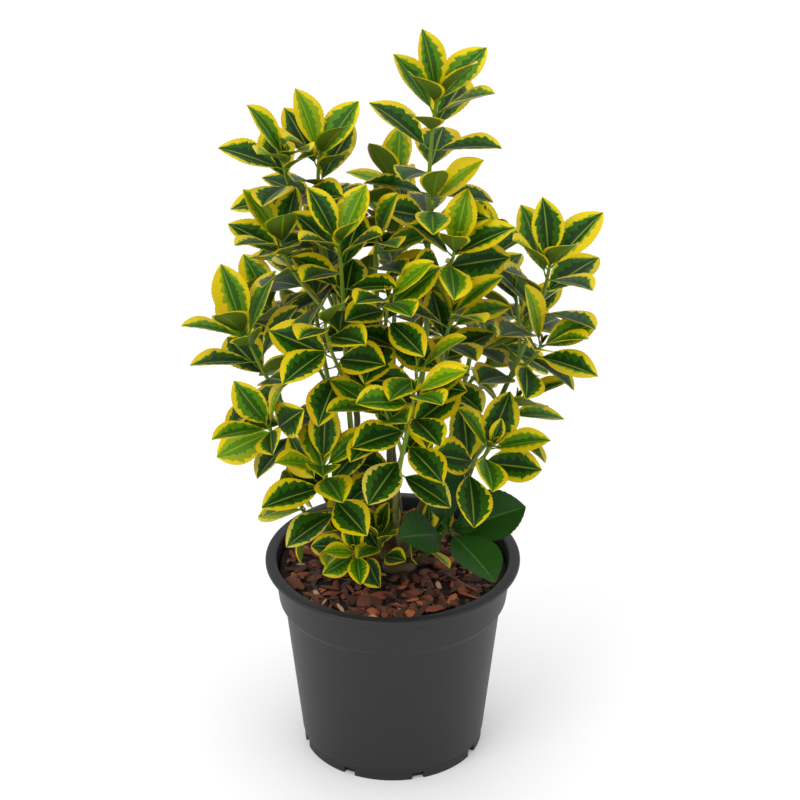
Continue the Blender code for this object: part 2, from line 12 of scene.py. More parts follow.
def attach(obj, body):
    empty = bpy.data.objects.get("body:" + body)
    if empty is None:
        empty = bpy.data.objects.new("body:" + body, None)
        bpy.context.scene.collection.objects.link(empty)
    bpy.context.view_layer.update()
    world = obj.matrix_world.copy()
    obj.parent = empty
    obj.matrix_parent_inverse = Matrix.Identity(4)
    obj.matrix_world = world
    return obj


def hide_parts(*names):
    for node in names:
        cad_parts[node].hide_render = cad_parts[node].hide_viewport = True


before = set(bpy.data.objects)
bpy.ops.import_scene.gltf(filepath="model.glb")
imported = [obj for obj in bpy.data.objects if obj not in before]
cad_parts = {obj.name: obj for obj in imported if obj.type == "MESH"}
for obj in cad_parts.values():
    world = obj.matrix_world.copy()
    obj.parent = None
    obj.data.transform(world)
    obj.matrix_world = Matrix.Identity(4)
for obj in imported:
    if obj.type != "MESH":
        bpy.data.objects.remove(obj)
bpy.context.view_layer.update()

MM = 0.001
GAP = 0.3 * MM  # clearance between solids that touch in the real plant

# Pot
POT_HEIGHT = 156.8 * MM
LIP_RADIUS = 95.0 * MM
LIP_HEIGHT = 4.6 * MM
LIP_ROUND = 1.2 * MM
LIP_FLARE = 2.0 * MM  # height over which the band flares out under the lip
BAND_TOP_RADIUS = 88.6 * MM
BAND_FOOT_RADIUS = 85.2 * MM
BAND_FOOT_Z = 124.0 * MM
SHOULDER_DROP = 4.5 * MM
WALL_TOP_RADIUS = 81.0 * MM
WALL_FOOT_RADIUS = 69.0 * MM
FOOT_RADIUS = 67.8 * MM
FOOT_HEIGHT = 9.0 * MM
FOOT_STEP = 0.6 * MM
WALL_THICK = 2.0 * MM
FLOOR_THICK = 3.0 * MM
NOTCHES = 8
NOTCH_PHASE = 0.36  # turn of the first notch from +X, as a share of the spacing
NOTCH_WIDTH = 9.0 * MM
NOTCH_DEPTH = 4.0 * MM
NOTCH_HEIGHT = 5.5 * MM
SHARP_ANGLE = math.radians(35)

# Bark mulch and soil
SOIL_TOP = 147.0 * MM
SOIL_BUMP = 1.6 * MM
SOIL_LEVEL_RADIUS = 20.0 * MM  # level bed under the main stem

# Main stem
STEM_FOOT = Vector((4.0, 2.0, 147.3)) * MM
STEM_TOP = Vector((5.0, 4.0, 176.0)) * MM
STEM_RADIUS = 11.0 * MM
FLARE_RADIUS = 15.0 * MM
FLARE_HEIGHT = 7.0 * MM
STEM_SIDES = 12
STEM_ROWS = 5
DOME_ROWS = 2
BASAL_FORK = 0.15  # share of the main stem's height where the basal twigs leave it
BASAL_RISE = 0.35  # rise of a basal twig's start for each unit outward
CLEAR_STEP = 0.1 * MM
FOOT_TEST_SIDES = 12

# Boughs and twigs
BOUGH_RISE = 0.4  # rise of a bough's start for each unit outward, at the stem's foot
BOUGH_RISE_ABOVE = 0.4  # more at its top
BOUGH_FOOT_RADIUS = 2.8 * MM
BOUGH_TIP_RADIUS = 2.3 * MM
BOUGH_SIDES = 6
BOUGH_STEP = 15.0 * MM  # length of one straight piece of a bough
TWIG_FOOT_RADIUS = 2.2 * MM
TWIG_TIP_RADIUS = 1.2 * MM
TWIG_SIDES = 4
TWIG_STEP = 17.5 * MM  # length of one straight piece of a twig
SIDE_TWIG_SHARE = 0.82  # radius of a side twig's foot, as a share of its parent's there
FOOT_PULL = 0.38  # how far a limb holds its first heading, as a share of its reach
TIP_PULL = 0.34
LENGTH_STEPS = 24
BARE_FOOT = 0.25  # share of a twig, from its foot, that bears no leaves

# Leaves
LEAF_HALF_WIDTH = 0.265  # share of the blade's length
LEAF_THICK = 0.020  # share of the blade's length, at the midrib
LEAF_LEAST_THICK = 1.1 * MM
LEAF_SECTIONS = (0.0, 0.36, 0.74)  # shares of the leaf's length that carry a section
LEAF_FOLD = 0.30  # rise of the blade's edges over the midrib, as a share of the half width
LEAF_RECURVE = math.radians(14)  # how far the blade bends back from root to tip
PETIOLE = 0.11  # share of the leaf's length
PETIOLE_RADIUS = 0.7 * MM
PAIR_DROPS = (1, 4, 12, 25, 40, 56, 73, 91, 110, 130)  # mm below the tip, one for each pair
DROP_LEAST = 0.8  # what the drops are multiplied by, for the shortest leaves
DROP_LEAF = 220.0  # mm of leaf that add one to it
PAIR_SIZES = (1.0, 1.0, 1.0, 1.0, 1.0, 0.98, 0.95, 0.92, 0.88, 0.84)  # leaf length by pair
PAIR_BREADTHS = (0.94, 0.98, 1.04, 1.08, 1.12, 1.14, 1.14, 1.14, 1.14, 1.14)  # leaf breadth by pair
REVERTED_BREADTH = 1.15
PAIR_OPENINGS = (0, 12, 21, 30, 39, 47, 55, 62, 68, 73)  # degrees beyond the top pair's
OUTWARD_OPENING = 6.0  # degrees more for a leaf that faces out of the crown, less for one facing in
OUTWARD_FULL = 60.0 * MM  # distance from the middle of the crown where that counts in full
CROWN_MIDDLE = Vector((0.0, 25.0)) * MM
PAIR_TWIST = 6.0  # degrees that the pairs wind round the twig, over the quarter turn
TURN_JITTER = 9.0
OPENING_JITTER = 6.0
SIZE_JITTER = 0.07
CLEAR_TURNS = (0, 9, -9, 18, -18, 27, -27)  # degrees tried until a leaf is clear of the rest
CLEAR_TILTS = (0, -8, 8, -16, 14)
TEST_START = 1.6  # where the test of a leaf starts, in twig radii from the axis
TEST_LENGTH = 1.02  # length of the tested leaf, as a share
MULCH_CLEAR = 3.0 * MM
LIP_CLEAR = 1.5 * MM
LIP_MARGIN = 8.0 * MM  # how far in from the lip's edge the lip's clearance holds

Bough = namedtuple("Bough", "tip share turn bend")
Shoot = namedtuple("Shoot", "join tip lean toward phase pairs leaf opening young", defaults=(1.0,))

# Bough: tip in mm, height of its foot on the main stem as a share, azimuth there, and outward bow
BOUGHS = {
    "leader_bough": Bough((20, 6, 292), 1.0, 20, 0.10),
    "upper_left_bough": Bough((-28, 12, 288), 1.0, 160, 0.20),
    "left_bough": Bough((-54, -10, 226), 0.45, 190, 0.30),
    "centre_left_bough": Bough((-28, -26, 258), 1.0, 205, 0.20),
    "centre_bough": Bough((-2, -8, 268), 1.0, 255, 0.05),
    "centre_right_bough": Bough((26, -20, 250), 1.0, 310, 0.15),
    "right_bough": Bough((60, -8, 244), 0.45, 2, 0.30),
    "lower_right_bough": Bough((44, -10, 214), 0.45, 325, 0.20),
    "front_bough": Bough((2, -42, 218), 0.45, 275, 0.25),
    "front_left_bough": Bough((-32, -34, 194), 0.45, 235, 0.30),
    "back_left_bough": Bough((-38, 40, 226), 0.45, 135, 0.30),
    "back_bough": Bough((0, 48, 224), 1.0, 95, 0.30),
    "back_right_bough": Bough((42, 38, 228), 0.45, 48, 0.30),
}

# Shoot: share of the mass's first twig where it joins, tip in mm, lean and where to in degrees,
# azimuth of the top pair, pairs, blade length in mm, opening of the top pair, and what share of
# its full size a young top pair has
MASSES = {
    "leader_foliage": (
        "leader_bough",
        Shoot(0.0, (31, 15, 514), 12, -45, 135, 9, 52, 25),
        Shoot(0.55, (28, -4, 446), 7, -95, 80, 5, 46, 22),
        Shoot(0.36, (43, -16, 411), 10, -70, 75, 5, 46, 30),
        Shoot(0.46, (4, 38, 436), 15, 150, 60, 5, 48, 28),
    ),
    "upper_left_foliage": (
        "upper_left_bough",
        Shoot(0.0, (-51, 20, 470), 12, -60, 125, 9, 48, 26),
        Shoot(0.50, (-75, 0, 477), 14, -80, 155, 7, 48, 30),
        Shoot(0.25, (-60, 30, 400), 12, 150, 30, 5, 44, 30),
    ),
    "left_foliage": (
        "left_bough",
        Shoot(0.0, (-104, -20, 350), 18, 200, 90, 9, 50, 25),
        Shoot(0.35, (-88, -40, 285), 25, 215, 20, 5, 46, 40),
    ),
    "centre_left_foliage": (
        "centre_left_bough",
        Shoot(0.0, (-37, -40, 430), 14, -110, 132, 8, 46, 30),
        Shoot(0.50, (-77, -25, 423), 10, -120, 135, 7, 46, 30),
        Shoot(0.25, (-46, -66, 380), 16, -100, 125, 7, 48, 30),
    ),
    "centre_foliage": (
        "centre_bough",
        Shoot(0.0, (-11, -12, 419), 20, -75, 10, 8, 46, 28),
        Shoot(0.35, (-3, -50, 392), 14, -80, 22, 7, 46, 36),
    ),
    "centre_right_foliage": (
        "centre_right_bough",
        Shoot(0.0, (42, -26, 369), 14, -20, 10, 8, 46, 36),
        Shoot(0.40, (17, -58, 342), 8, 30, 60, 6, 46, 26),
    ),
    "right_foliage": (
        "right_bough",
        Shoot(0.0, (111, 0, 394), 14, -70, 115, 8, 53, 30),
        Shoot(0.38, (105, -22, 342), 20, -50, 140, 6, 48, 34),
        Shoot(0.50, (88, 18, 368), 6, 120, 100, 5, 44, 22),
    ),
    "lower_right_foliage": (
        "lower_right_bough",
        Shoot(0.0, (70, -45, 273), 24, -30, 75, 5, 48, 34, 0.45),
        Shoot(0.30, (88, -12, 292), 24, 10, 10, 4, 46, 40),
    ),
    "front_foliage": (
        "front_bough",
        Shoot(0.0, (15, -85, 338), 16, -80, 15, 8, 46, 34, 0.9),
        Shoot(0.45, (-6, -72, 320), 16, 215, 120, 6, 48, 34),
    ),
    "front_left_foliage": (
        "front_left_bough",
        Shoot(0.0, (-49, -62, 268), 16, -80, 95, 7, 48, 38),
        Shoot(0.30, (-66, -38, 218), 20, 200, 60, 5, 42, 40),
    ),
    "reverted_foliage": (
        "",
        Shoot(0.0, (42, -40, 203), 50, -60, 14, 3, 60, 40, 0.35),
    ),
    "basal_front_foliage": (
        "",
        Shoot(0.0, (-10, -34, 192), 8, -90, 40, 6, 31, 26),
        Shoot(0.40, (26, -36, 192), 14, -40, 110, 5, 30, 30),
    ),
    "basal_left_foliage": (
        "",
        Shoot(0.0, (-40, -26, 192), 26, 215, 60, 5, 34, 40),
        Shoot(0.50, (-26, -40, 182), 30, 250, 10, 4, 30, 44),
    ),
    "back_left_foliage": (
        "back_left_bough",
        Shoot(0.0, (-62, 66, 372), 8, 130, 30, 8, 46, 28),
        Shoot(0.45, (-88, 40, 342), 18, 160, 100, 6, 46, 32),
        Shoot(0.25, (-66, 90, 296), 22, 120, 60, 6, 46, 34),
    ),
    "back_foliage": (
        "back_bough",
        Shoot(0.0, (2, 78, 392), 6, 90, 70, 8, 46, 28),
        Shoot(0.40, (-22, 100, 326), 16, 110, 20, 6, 46, 32),
        Shoot(0.25, (30, 104, 306), 18, 80, 120, 6, 46, 34),
    ),
    "back_right_foliage": (
        "back_right_bough",
        Shoot(0.0, (68, 58, 374), 8, 40, 110, 8, 46, 28),
        Shoot(0.45, (96, 44, 326), 20, 20, 60, 6, 46, 32),
        Shoot(0.25, (76, 84, 288), 20, 50, 20, 6, 46, 34),
    ),
}


def mesh_from(name, points, faces):
    """A mesh from points and faces."""
    mesh = bpy.data.meshes.new(name)
    mesh.from_pydata([tuple(p) for p in points], [], faces)
    mesh.update()
    return mesh


def applied(obj):
    """The object's mesh with its modifiers applied."""
    graph = bpy.context.evaluated_depsgraph_get()
    mesh = bpy.data.meshes.new_from_object(obj.evaluated_get(graph))
    obj.modifiers.clear()
    obj.data = mesh
    return mesh


def tube(rings):
    """Points and faces of a closed tube through rings of equal size."""
    sides = len(rings[0])
    points = [p for ring in rings for p in ring]
    faces = [tuple(reversed(range(sides)))]
    for row in range(len(rings) - 1):
        a = row * sides
        for i in range(sides):
            j = (i + 1) % sides
            faces.append((a + i, a + j, a + sides + j, a + sides + i))
    last = (len(rings) - 1) * sides
    faces.append(tuple(range(last, last + sides)))
    return points, faces


def circle(centre, radius, sides):
    """A level ring of points."""
    return [
        centre + Vector((math.cos(math.tau * i / sides), math.sin(math.tau * i / sides), 0.0)) * radius
        for i in range(sides)
    ]


def level(height):
    """A vector straight up."""
    return Vector((0.0, 0.0, height))


def bezier(a, b, c, d, t):
    """The point at a share of a cubic curve."""
    s = 1.0 - t
    return a * s**3 + b * (3 * s * s * t) + c * (3 * s * t * t) + d * t**3


def bezier_slope(a, b, c, d, t):
    """The heading at a share of a cubic curve."""
    s = 1.0 - t
    return ((b - a) * s * s + (c - b) * (2 * s * t) + (d - c) * t * t).normalized()


def leaning(lean, toward):
    """Unit vector that leans from upright by one angle toward an azimuth, in degrees."""
    lean, toward = math.radians(lean), math.radians(toward)
    return Vector((math.sin(lean) * math.cos(toward), math.sin(lean) * math.sin(toward), math.cos(lean)))


def crosswise(axis):
    """Two unit vectors across an axis. The first stays as near +X as it can."""
    first = Vector((1.0, 0.0, 0.0))
    first = (first - axis * first.dot(axis)).normalized()
    return first, axis.cross(first)


def ring_across(centre, axis, radius, sides):
    """A ring of points across an axis."""
    first, other = crosswise(axis)
    turns = [math.tau * i / sides for i in range(sides)]
    return [centre + first * radius * math.cos(a) + other * radius * math.sin(a) for a in turns]


class Limb:
    """A smooth tapering limb from one point and heading to another."""

    def __init__(self, start, heading, tip, ending, foot_radius, tip_radius):
        reach = (tip - start).length
        self.curve = (start, start + heading * reach * FOOT_PULL, tip - ending * reach * TIP_PULL, tip)
        self.foot_radius = foot_radius
        self.tip_radius = tip_radius
        spots = [self.point(i / LENGTH_STEPS) for i in range(LENGTH_STEPS + 1)]
        self.length = sum((b - a).length for a, b in zip(spots, spots[1:]))

    def point(self, t):
        return bezier(*self.curve, t)

    def slope(self, t):
        return bezier_slope(*self.curve, t)

    def radius(self, t):
        return self.foot_radius + (self.tip_radius - self.foot_radius) * t

    def pieces(self, step):
        """How many straight pieces of about one length stand for the limb."""
        return max(2, round(self.length / step))

    def chord_point(self, t, step):
        """The point at a share of the limb when it's made of straight pieces."""
        count = self.pieces(step)
        first = min(int(t * count), count - 1)
        return self.point(first / count).lerp(self.point((first + 1) / count), t * count - first)

    def solid(self, step, sides):
        """Points and faces of the limb, as straight pieces of about one length."""
        count = self.pieces(step)
        shares = [k / count for k in range(count + 1)]
        return tube([ring_across(self.point(t), self.slope(t), self.radius(t), sides) for t in shares])


def leaf_width(s):
    """Half width of the blade at a share of its length, as a share of the widest."""
    t = s**1.12
    return (4.0 * t * (1.0 - t)) ** 0.92


def leaf_spine(root, heading, face, length):
    """A function that gives the midrib's point and the blade's face at a share of the leaf."""
    def spot(s):
        bend = LEAF_RECURVE * s * s
        sag = LEAF_RECURVE * s**3 / 3.0
        return root + (heading * s - face * sag) * length, face * math.cos(bend) + heading * math.sin(bend)
    return spot


def leaf_solid(root, heading, face, length, broad):
    """Points and faces of one thin folded leaf."""
    side = heading.cross(face).normalized()
    spot = leaf_spine(root, heading, face, length)
    widest = LEAF_HALF_WIDTH * length * broad
    rings = []
    for s in LEAF_SECTIONS:
        centre, upward = spot(s)
        blade = max(0.0, (s - PETIOLE) / (1.0 - PETIOLE))
        half = max(PETIOLE_RADIUS, widest * leaf_width(blade))
        rise = LEAF_FOLD * half if blade else 0.0
        thick = max(LEAF_THICK * length, LEAF_LEAST_THICK) / 2
        rings.append([
            centre - side * half + upward * rise,
            centre + upward * thick,
            centre + side * half + upward * rise,
            centre - upward * thick,
        ])
    points, faces = tube(rings)
    faces.pop()
    points.append(spot(1.0)[0])
    tip = len(points) - 1
    faces.extend((tip - 4 + i, tip - 4 + (i + 1) % 4, tip) for i in range(4))
    return points, faces


class Crowd:
    """What already stands in the crown, for telling whether a new piece is clear of it."""

    def __init__(self):
        self.pieces = []

    def measured(self, points, faces):
        """A piece's middle, its reach from there, and its search tree."""
        middle = sum(points, Vector()) / len(points)
        reach = max((p - middle).length for p in points)
        corners = [(f[0], f[i], f[i + 1]) for f in faces for i in range(1, len(f) - 1)]
        return middle, reach, BVHTree.FromPolygons([tuple(p) for p in points], corners, all_triangles=True)

    def add(self, points, faces, owner):
        self.pieces.append((*self.measured(points, faces), owner))

    def touched(self, points, faces, spared=""):
        """Whether a piece meets another, leaving out those of one owner."""
        middle, reach, tree = self.measured(points, faces)
        return any(
            owner != spared and (centre - middle).length < radius + reach and tree.overlap(other)
            for centre, radius, other, owner in self.pieces
        )


def stem_centre(share):
    """The middle of the main stem at a share of its height."""
    return STEM_FOOT.lerp(STEM_TOP, share)


def main_stem_solid(rows, dome_rows, sides):
    """A short leaning stem, cut level at the soil, with a root flare and a domed fork."""
    height = (STEM_TOP - STEM_FOOT).length
    rings = []
    for k in range(rows + 1):
        share = k / rows
        flare = max(0.0, 1.0 - share * height / FLARE_HEIGHT) ** 2
        radius = STEM_RADIUS + (FLARE_RADIUS - STEM_RADIUS) * flare
        rings.append(circle(stem_centre(share), radius, sides))
    for k in range(1, dome_rows + 1):
        rise = math.pi / 2 * k / (dome_rows + 0.5)
        centre = STEM_TOP + level(STEM_RADIUS * math.sin(rise))
        rings.append(circle(centre, STEM_RADIUS * math.cos(rise), sides))
    return tube(rings)


def off_main_stem(centre, heading, radius):
    """Where a limb starts that leaves the main stem, its whole foot the gap away from the bark."""
    start = centre
    axis = (STEM_TOP - STEM_FOOT).normalized()
    while True:
        start = start + heading * CLEAR_STEP
        near = []
        for p in [start, *ring_across(start, heading, radius, FOOT_TEST_SIDES)]:
            along = min(max((p - STEM_FOOT).dot(axis), 0.0), (STEM_TOP - STEM_FOOT).length)
            near.append((p - STEM_FOOT - axis * along).length)
        if min(near) > STEM_RADIUS + GAP:
            return start


def bough_limbs():
    """The boughs leave the main stem in two whorls, the upper one steeper."""
    limbs = {}
    axis = (STEM_TOP - STEM_FOOT).normalized()
    for name, (tip, share, turn, bend) in BOUGHS.items():
        tip = Vector(tip) * MM
        outward = leaning(90, turn)
        heading = (outward + axis * (BOUGH_RISE + BOUGH_RISE_ABOVE * share)).normalized()
        start = off_main_stem(stem_centre(share), heading, BOUGH_FOOT_RADIUS)
        away = Vector((tip.x - start.x, tip.y - start.y, 0.0)).normalized()
        ending = (away * bend + axis).normalized()
        limbs[name] = Limb(start, heading, tip, ending, BOUGH_FOOT_RADIUS, BOUGH_TIP_RADIUS)
    return limbs


def shoot_limbs(mass, limbs):
    """The limb of each shoot in a mass: the first grows on from its bough, the rest from the first."""
    bough, *shoots = mass
    made = []
    for shoot in shoots:
        tip = Vector(shoot.tip) * MM
        ending = leaning(shoot.lean, shoot.toward)
        foot_radius = TWIG_FOOT_RADIUS
        if made:
            first = made[0]
            start = first.point(shoot.join)
            heading = (first.slope(shoot.join) * 0.5 + (tip - start).normalized()).normalized()
            foot_radius = first.radius(shoot.join) * SIDE_TWIG_SHARE
        elif bough:
            heading = limbs[bough].slope(1.0)
            start = limbs[bough].point(1.0) + heading * GAP
        else:
            centre = stem_centre(BASAL_FORK)
            outward = Vector((tip.x - centre.x, tip.y - centre.y, 0.0)).normalized()
            heading = (outward + level(BASAL_RISE)).normalized()
            start = off_main_stem(centre, heading, TWIG_FOOT_RADIUS)
        made.append(Limb(start, heading, tip, ending, foot_radius, TWIG_TIP_RADIUS))
    return made


def leaves_of(shoot, limb, chance):
    """Share along the twig, azimuth, opening, length and breadth of each leaf the rule gives a shoot."""
    made = []
    outward = (Vector(shoot.tip[:2]) * MM - CROWN_MIDDLE) / OUTWARD_FULL
    if outward.length > 1.0:
        outward.normalize()
    for pair in range(shoot.pairs):
        drop = PAIR_DROPS[pair] * MM * (DROP_LEAST + shoot.leaf / DROP_LEAF)
        t = 1.0 - drop / limb.length
        if t < BARE_FOOT:
            break
        for half in (0, 180):
            turn = shoot.phase + (90 + PAIR_TWIST) * pair + half + chance.uniform(-1, 1) * TURN_JITTER
            facing = outward.dot(Vector((math.cos(math.radians(turn)), math.sin(math.radians(turn)))))
            opening = shoot.opening + PAIR_OPENINGS[pair] + OUTWARD_OPENING * facing
            opening += chance.uniform(-1, 1) * OPENING_JITTER
            size = shoot.leaf * PAIR_SIZES[pair] * (1 + chance.uniform(-1, 1) * SIZE_JITTER)
            if pair == 0:
                size *= shoot.young
            made.append((t, turn, opening, size * MM, PAIR_BREADTHS[pair]))
    return made


def leaf_frame(axis, turn, opening):
    """Heading and face of a leaf that opens from a twig's axis toward an azimuth, in degrees."""
    across, other = crosswise(axis)
    turn, opening = math.radians(turn), math.radians(opening)
    aside = across * math.cos(turn) + other * math.sin(turn)
    heading = axis * math.cos(opening) + aside * math.sin(opening)
    face = axis * math.sin(opening) - aside * math.cos(opening)
    return heading, face


def within_bounds(points):
    """Whether a piece keeps above the mulch and clear of the pot's lip."""
    for p in points:
        across = math.hypot(p.x, p.y)
        if p.z < SOIL_TOP + MULCH_CLEAR and across < LIP_RADIUS + LIP_CLEAR:
            return False
        if p.z < POT_HEIGHT + LIP_CLEAR and across > LIP_RADIUS - LIP_MARGIN:
            return False
    return True


def placed_leaf(limb, t, turn, opening, length, broad, crowd, owner):
    """The first way of turning and tilting a leaf that keeps it clear of the rest, or None."""
    root, axis = limb.chord_point(t, TWIG_STEP), limb.slope(t)
    for tilt in CLEAR_TILTS:
        for aside in CLEAR_TURNS:
            heading, face = leaf_frame(axis, turn + aside, opening + tilt)
            outer = root + heading * limb.radius(t) * TEST_START
            solid = leaf_solid(outer, heading, face, length * TEST_LENGTH, broad)
            if not within_bounds(solid[0]) or crowd.touched(*solid):
                continue
            if not crowd.touched(*leaf_solid(root, heading, face, length, broad), owner):
                return root, heading, face, length, broad
    return None


def grow():
    """The boughs' limbs, and each mass's twigs and leaves, grown one after another."""
    limbs = bough_limbs()
    twigs = {name: shoot_limbs(mass, limbs) for name, mass in MASSES.items()}
    crowd = Crowd()
    crowd.add(*main_stem_solid(STEM_ROWS, DOME_ROWS, STEM_SIDES), "main_stem")
    for name, limb in limbs.items():
        crowd.add(*limb.solid(BOUGH_STEP, BOUGH_SIDES), name)
    for name, made in twigs.items():
        for limb in made:
            crowd.add(*limb.solid(TWIG_STEP, TWIG_SIDES), name)
    leaves = {}
    for name, (_, *shoots) in MASSES.items():
        chance = random.Random(name)
        leaves[name] = []
        plain = REVERTED_BREADTH if name == "reverted_foliage" else 1.0
        for number, (shoot, limb) in enumerate(zip(shoots, twigs[name])):
            for t, turn, opening, length, broad in leaves_of(shoot, limb, chance):
                leaf = placed_leaf(limb, t, turn, opening, length, broad * plain, crowd, name)
                if leaf:
                    leaves[name].append((number, *leaf))
                    crowd.add(*leaf_solid(*leaf), name)
    return limbs, twigs, leaves


def pot_outside():
    """Radius and height of the pot's outer side, from the foot up to the top of the lip."""
    lip_foot = POT_HEIGHT - LIP_HEIGHT
    return [
        (FOOT_RADIUS, 0.0),
        (FOOT_RADIUS, FOOT_HEIGHT),
        (WALL_FOOT_RADIUS, FOOT_HEIGHT + FOOT_STEP),
        (WALL_TOP_RADIUS, BAND_FOOT_Z - SHOULDER_DROP),
        ((WALL_TOP_RADIUS + 2 * BAND_FOOT_RADIUS) / 3, BAND_FOOT_Z - SHOULDER_DROP / 2),
        (BAND_FOOT_RADIUS, BAND_FOOT_Z),
        (BAND_TOP_RADIUS, lip_foot - LIP_FLARE),
        (LIP_RADIUS - LIP_ROUND, lip_foot),
        (LIP_RADIUS, lip_foot + LIP_ROUND),
        (LIP_RADIUS, POT_HEIGHT - LIP_ROUND),
        (LIP_RADIUS - LIP_ROUND, POT_HEIGHT),
    ]


def pot_inside():
    """Radius and height of the pot's inner side, from the floor up to the top of the lip."""
    return [
        (FOOT_RADIUS - WALL_THICK, FLOOR_THICK),
        (WALL_TOP_RADIUS - WALL_THICK, BAND_FOOT_Z - SHOULDER_DROP),
        (BAND_FOOT_RADIUS - WALL_THICK, BAND_FOOT_Z),
        (BAND_TOP_RADIUS - WALL_THICK, POT_HEIGHT - LIP_ROUND),
        (BAND_TOP_RADIUS - WALL_THICK + LIP_ROUND, POT_HEIGHT),
    ]


# Finer shapes than the source's
POT_ROUND_SIDES = 160
CORNER_STEPS = 4
CORNER_SHARE = 0.35  # share of the side next to it that a rounded corner may take
CORNER_MOST = 1.4 * MM
TWIG_FINE_STEP = 4.0 * MM
TWIG_FINE_SIDES = 10
BOUGH_FINE_STEP = 2.5 * MM
BOUGH_FINE_SIDES = 14
STEM_FINE_SIDES = 28
STEM_FINE_ROWS = 18
DOME_FINE_ROWS = 6

# Bark
BOUGH_RELIEF = 0.25 * MM
STEM_RELIEF = 0.5 * MM
RIDGE_PITCH = 2.1 * MM  # height over which the ridges' wave turns by one radian
RIDGES_ROUND = 3.0  # ridges round a limb
BARK_BELOW = 190.0 * MM  # height below which a bough has brown bark
WOODY_BELOW = 245.0 * MM  # height below which a twig is woody

# Fine leaves
LEAF_ROWS = 36
UNDER_COLUMNS = (-1.0, -0.85, -0.5, -0.05, 0.05, 0.5, 0.85, 1.0)  # shares of the half width
LEAF_DEPTH = 0.5 * MM  # depth of the underside below the top, at the midrib
LEAF_LEAST_HALF = 0.12 * MM
RIB_SHARE = 0.045  # half width of the midrib, as a share of the blade's
VEINS = 7  # side veins on each half
VEIN_SLANT = 0.9  # vein spacings that a vein gains toward the tip on its way out
TOOTH = 0.022  # depth of the margin's teeth, as a share of the half width
PUCKER = 0.005  # relief of the blade's top, as a share of its length
VEIN_RELIEF = 0.5  # part of it that the veins have
RIPPLES = 2.0  # waves along the margin
RIPPLE_SHIFT = 1.5  # radians by which one half's waves lead the other's
EDGE_CURL = 1.15  # power by which the fold grows toward the edge
STALK_ROWS = 4
STALK_SIDES = 6
STALK_OVERLAP = 0.03  # share of the leaf's length that the stalk runs on under the blade
STALK_TAPER = 0.25
BUD_LENGTH = 11.0 * MM
BUD_BREADTH = 0.8
BUD_OPENING = 10  # degrees
BUD_TURN = 40  # degrees either way
OLD_AT = 75.0 * MM  # distance below the shoot's tip where a leaf counts as old

# Variegation, as shares of half a blade's width, for an age from 0, at the tip of a shoot, to 1
FOOT_REACH = (0.86, 0.93)  # reach of the green at the blade's foot
MIDDLE_REACH = 0.76  # and at its middle
MIDDLE_AGED = 0.08  # more in an old blade
MIDDLE_SPREAD = (-0.08, 0.08)
TIP_FROM = 0.56  # share of the length from which the green draws in toward the tip
TIP_FROM_AGED = 0.14
TIP_FROM_SPREAD = (-0.08, 0.10)
TIP_LOSS = (0.45, 0.85)  # share of its reach that the green loses by the tip
HALF_SCALE = (0.86, 1.06)
PALE_ODDS = 0.14  # odds that half a young blade is mostly yellow
PALE_SCALE = (0.35, 0.65)
GREEN_LEAST = 0.09
GREEN_MOST = 0.93
LIME_MOST = 0.97
LIME_FADE = 0.6  # share of the lime band that an old blade has lost
GREEN_JAGS = (0.84, 1.22)
INNER_JAGS = (0.35, 0.85)
LIME_JAGS = (0.10, 0.55)
JAG_HEIGHTS = (0.35, 1.0)
JAG_NOISE = (0.8, 1.0)
BRIGHT_UNTIL = 0.25  # age up to which some blades are a lighter green
BRIGHT_ODDS = 0.6
LIMY_UNTIL = 0.15  # age up to which some blades are lime and yellow
LIMY_ODDS = 0.3
DULL_FROM = 0.5  # age from which mid green takes the place of lime
GOLD_FROM = 0.55  # age from which the edge is gold
CREAM_FROM = 0.6  # age from which some edges are cream
CREAM_ODDS = 0.45

# Mulch
BED_SIDES = 120
BED_RINGS = 40
BED_MIDDLE = SOIL_LEVEL_RADIUS / 4  # radius of the innermost ring
BED_BUMPS = (-1.0, 0.6)  # shares of the soil's bump
CHIPS = 620
CHIP_INSET = 6.0 * MM  # from the pot's wall to the middle of the outermost chips
CHIP_INNER = 0.04  # square of the radius, as a share, inside which no chip has its middle
CHIP_LIFT = (0.2, 2.6)  # mm above the soil
CHIP_SHORT = (5, 11)  # mm
CHIP_LONG = (11, 20)  # mm
SHORT_ODDS = 0.7
CHIP_WIDTH = (0.30, 0.65)  # share of its length
CHIP_FLAT = 5  # its width over half its thickness
CHIP_TILT = 22  # degrees either way
CHIP_ROLL = 0.7  # radians either way
CHIP_SIDES = 6
CHIP_SECTIONS = (0.45, 0.95, 1.0, 0.9, 0.4)  # breadth from one end to the other

# Surfaces
NOISE_DETAIL = 4.0
BUMP_STRENGTH = 0.6

# Stage, lights and camera
FLOOR_HALF = 6.0
SKY_STRENGTH = 0.95
LAMPS = (  # name, place and side in metres, and watts
    ("key_light", (-1.1, -1.3, 1.7), 1.2, 15.0),
    ("fill_light", (1.4, -1.0, 1.2), 1.4, 5.0),
    ("top_light", (0.0, 0.5, 2.2), 1.4, 9.0),
)
FOCAL_PIXELS = 2762.2
PICTURE_SIDE = 800
SENSOR = 36.0
CAMERA_RISE = math.radians(27.656)
CAMERA_AIM = Vector((0.0054, 0.0, 0.2869))
CAMERA_DISTANCE = 2.0


def srgb(*levels):
    """A linear colour from display levels out of 255."""
    return tuple(((v / 255 + 0.055) / 1.055) ** 2.4 if v > 10 else v / 255 / 12.92 for v in levels)


